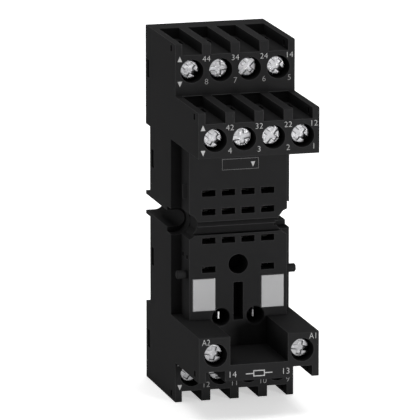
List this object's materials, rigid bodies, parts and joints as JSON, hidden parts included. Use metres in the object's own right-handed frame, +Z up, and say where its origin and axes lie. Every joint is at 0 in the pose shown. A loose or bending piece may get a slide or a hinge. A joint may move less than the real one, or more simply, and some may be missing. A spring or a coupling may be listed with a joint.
{
  "type": "relay socket",
  "caption": "Black plug-in relay socket with screw clamp terminals in stepped rows, blade slots, a module bay, label plates and a rear rail seat with a sliding latch.",
  "frame": {"origin": "on the rear mounting plane, midway between the two fixing slots", "axes": "+X to the right seen from the front, +Y into the wall or rail, +Z up"},
  "size_m": [0.027, 0.0441, 0.08],
  "materials": {
    "housing_plastic": "fine matt moulding",
    "cover_plastic": "fine matt moulding",
    "latch_plastic": "smooth moulding",
    "label_plastic": "smooth light grey",
    "screw_steel": "bright zinc plated",
    "cage_steel": "zinc plated",
    "contact_brass": "tinned spring alloy",
    "module_tin": "bright tinned spring",
    "spring_steel": "drawn spring wire"
  },
  "bodies": {
    "socket": {"front_housing": "housing_plastic", "rear_cover": "cover_plastic", "label_plate_left": "label_plastic", "label_plate_right": "label_plastic", "latch_spring": "spring_steel", "contact_1": "contact_brass", "contact_2": "contact_brass", "contact_3": "contact_brass", "contact_4": "contact_brass", "contact_5": "contact_brass", "contact_6": "contact_brass", "contact_7": "contact_brass", "contact_8": "contact_brass", "contact_9": "contact_brass", "contact_10": "contact_brass", "contact_11": "contact_brass", "contact_12": "contact_brass", "contact_13": "contact_brass", "contact_14": "contact_brass", "module_contact_left": "module_tin", "module_contact_right": "module_tin"},
    "latch": {"rail_latch": "latch_plastic"},
    "screw_1": {"terminal_screw_1": "screw_steel"},
    "cage_1": {"clamp_cage_1": "cage_steel"},
    "screw_2": {"terminal_screw_2": "screw_steel"},
    "cage_2": {"clamp_cage_2": "cage_steel"},
    "screw_3": {"terminal_screw_3": "screw_steel"},
    "cage_3": {"clamp_cage_3": "cage_steel"},
    "screw_4": {"terminal_screw_4": "screw_steel"},
    "cage_4": {"clamp_cage_4": "cage_steel"},
    "screw_5": {"terminal_screw_5": "screw_steel"},
    "cage_5": {"clamp_cage_5": "cage_steel"},
    "screw_6": {"terminal_screw_6": "screw_steel"},
    "cage_6": {"clamp_cage_6": "cage_steel"},
    "screw_7": {"terminal_screw_7": "screw_steel"},
    "cage_7": {"clamp_cage_7": "cage_steel"},
    "screw_8": {"terminal_screw_8": "screw_steel"},
    "cage_8": {"clamp_cage_8": "cage_steel"},
    "screw_9": {"terminal_screw_9": "screw_steel"},
    "cage_9": {"clamp_cage_9": "cage_steel"},
    "screw_10": {"terminal_screw_10": "screw_steel"},
    "cage_10": {"clamp_cage_10": "cage_steel"},
    "screw_11": {"terminal_screw_11": "screw_steel"},
    "cage_11": {"clamp_cage_11": "cage_steel"},
    "screw_12": {"terminal_screw_12": "screw_steel"},
    "cage_12": {"clamp_cage_12": "cage_steel"},
    "screw_13": {"terminal_screw_13": "screw_steel"},
    "cage_13": {"clamp_cage_13": "cage_steel"},
    "screw_14": {"terminal_screw_14": "screw_steel"},
    "cage_14": {"clamp_cage_14": "cage_steel"}
  },
  "joints": [
    {"name": "latch_slide", "type": "slide", "parent": "socket", "child": "latch", "axis": [0, 0, -1], "range_m": [0, 0.0025], "stiffness_N_per_m": 2500, "springref_m": -0.002, "deforming": ["latch_spring"]},
    {"name": "screw_1_turn", "type": "hinge", "parent": "socket", "child": "screw_1", "pos_m": [0.00975, -0.03, 0.0225], "axis": [0, 1, 0], "range_deg": [0, 1656]},
    {"name": "cage_1_rise", "type": "slide", "parent": "socket", "child": "cage_1", "axis": [0, -1, 0], "range_m": [0, 0.0023]},
    {"name": "screw_2_turn", "type": "hinge", "parent": "socket", "child": "screw_2", "pos_m": [0.00325, -0.03, 0.0225], "axis": [0, 1, 0], "range_deg": [0, 1656]},
    {"name": "cage_2_rise", "type": "slide", "parent": "socket", "child": "cage_2", "axis": [0, -1, 0], "range_m": [0, 0.0023]},
    {"name": "screw_3_turn", "type": "hinge", "parent": "socket", "child": "screw_3", "pos_m": [-0.00325, -0.03, 0.0225], "axis": [0, 1, 0], "range_deg": [0, 1656]},
    {"name": "cage_3_rise", "type": "slide", "parent": "socket", "child": "cage_3", "axis": [0, -1, 0], "range_m": [0, 0.0023]},
    {"name": "screw_4_turn", "type": "hinge", "parent": "socket", "child": "screw_4", "pos_m": [-0.00975, -0.03, 0.0225], "axis": [0, 1, 0], "range_deg": [0, 1656]},
    {"name": "cage_4_rise", "type": "slide", "parent": "socket", "child": "cage_4", "axis": [0, -1, 0], "range_m": [0, 0.0023]},
    {"name": "screw_5_turn", "type": "hinge", "parent": "socket", "child": "screw_5", "pos_m": [0.00975, -0.03, 0.034], "axis": [0, 1, 0], "range_deg": [0, 1656]},
    {"name": "cage_5_rise", "type": "slide", "parent": "socket", "child": "cage_5", "axis": [0, -1, 0], "range_m": [0, 0.0023]},
    {"name": "screw_6_turn", "type": "hinge", "parent": "socket", "child": "screw_6", "pos_m": [0.00325, -0.03, 0.034], "axis": [0, 1, 0], "range_deg": [0, 1656]},
    {"name": "cage_6_rise", "type": "slide", "parent": "socket", "child": "cage_6", "axis": [0, -1, 0], "range_m": [0, 0.0023]},
    {"name": "screw_7_turn", "type": "hinge", "parent": "socket", "child": "screw_7", "pos_m": [-0.00325, -0.03, 0.034], "axis": [0, 1, 0], "range_deg": [0, 1656]},
    {"name": "cage_7_rise", "type": "slide", "parent": "socket", "child": "cage_7", "axis": [0, -1, 0], "range_m": [0, 0.0023]},
    {"name": "screw_8_turn", "type": "hinge", "parent": "socket", "child": "screw_8", "pos_m": [-0.00975, -0.03, 0.034], "axis": [0, 1, 0], "range_deg": [0, 1656]},
    {"name": "cage_8_rise", "type": "slide", "parent": "socket", "child": "cage_8", "axis": [0, -1, 0], "range_m": [0, 0.0023]},
    {"name": "screw_9_turn", "type": "hinge", "parent": "socket", "child": "screw_9", "pos_m": [0.00975, -0.03, -0.034], "axis": [0, 1, 0], "range_deg": [0, 1656]},
    {"name": "cage_9_rise", "type": "slide", "parent": "socket", "child": "cage_9", "axis": [0, -1, 0], "range_m": [0, 0.0023]},
    {"name": "screw_10_turn", "type": "hinge", "parent": "socket", "child": "screw_10", "pos_m": [0.00325, -0.03, -0.034], "axis": [0, 1, 0], "range_deg": [0, 1656]},
    {"name": "cage_10_rise", "type": "slide", "parent": "socket", "child": "cage_10", "axis": [0, -1, 0], "range_m": [0, 0.0023]},
    {"name": "screw_11_turn", "type": "hinge", "parent": "socket", "child": "screw_11", "pos_m": [-0.00325, -0.03, -0.034], "axis": [0, 1, 0], "range_deg": [0, 1656]},
    {"name": "cage_11_rise", "type": "slide", "parent": "socket", "child": "cage_11", "axis": [0, -1, 0], "range_m": [0, 0.0023]},
    {"name": "screw_12_turn", "type": "hinge", "parent": "socket", "child": "screw_12", "pos_m": [-0.00975, -0.03, -0.034], "axis": [0, 1, 0], "range_deg": [0, 1656]},
    {"name": "cage_12_rise", "type": "slide", "parent": "socket", "child": "cage_12", "axis": [0, -1, 0], "range_m": [0, 0.0023]},
    {"name": "screw_13_turn", "type": "hinge", "parent": "socket", "child": "screw_13", "pos_m": [0.00975, -0.03, -0.02493], "axis": [0, 1, 0], "range_deg": [0, 1656]},
    {"name": "cage_13_rise", "type": "slide", "parent": "socket", "child": "cage_13", "axis": [0, -1, 0], "range_m": [0, 0.0023]},
    {"name": "screw_14_turn", "type": "hinge", "parent": "socket", "child": "screw_14", "pos_m": [-0.00975, -0.03, -0.02493], "axis": [0, 1, 0], "range_deg": [0, 1656]},
    {"name": "cage_14_rise", "type": "slide", "parent": "socket", "child": "cage_14", "axis": [0, -1, 0], "range_m": [0, 0.0023]}
  ],
  "couplings": [
    {"joint": "screw_1_turn", "follows": "cage_1_rise", "rad_per_m": 12566},
    {"joint": "screw_2_turn", "follows": "cage_2_rise", "rad_per_m": 12566},
    {"joint": "screw_3_turn", "follows": "cage_3_rise", "rad_per_m": 12566},
    {"joint": "screw_4_turn", "follows": "cage_4_rise", "rad_per_m": 12566},
    {"joint": "screw_5_turn", "follows": "cage_5_rise", "rad_per_m": 12566},
    {"joint": "screw_6_turn", "follows": "cage_6_rise", "rad_per_m": 12566},
    {"joint": "screw_7_turn", "follows": "cage_7_rise", "rad_per_m": 12566},
    {"joint": "screw_8_turn", "follows": "cage_8_rise", "rad_per_m": 12566},
    {"joint": "screw_9_turn", "follows": "cage_9_rise", "rad_per_m": 12566},
    {"joint": "screw_10_turn", "follows": "cage_10_rise", "rad_per_m": 12566},
    {"joint": "screw_11_turn", "follows": "cage_11_rise", "rad_per_m": 12566},
    {"joint": "screw_12_turn", "follows": "cage_12_rise", "rad_per_m": 12566},
    {"joint": "screw_13_turn", "follows": "cage_13_rise", "rad_per_m": 12566},
    {"joint": "screw_14_turn", "follows": "cage_14_rise", "rad_per_m": 12566}
  ]
}
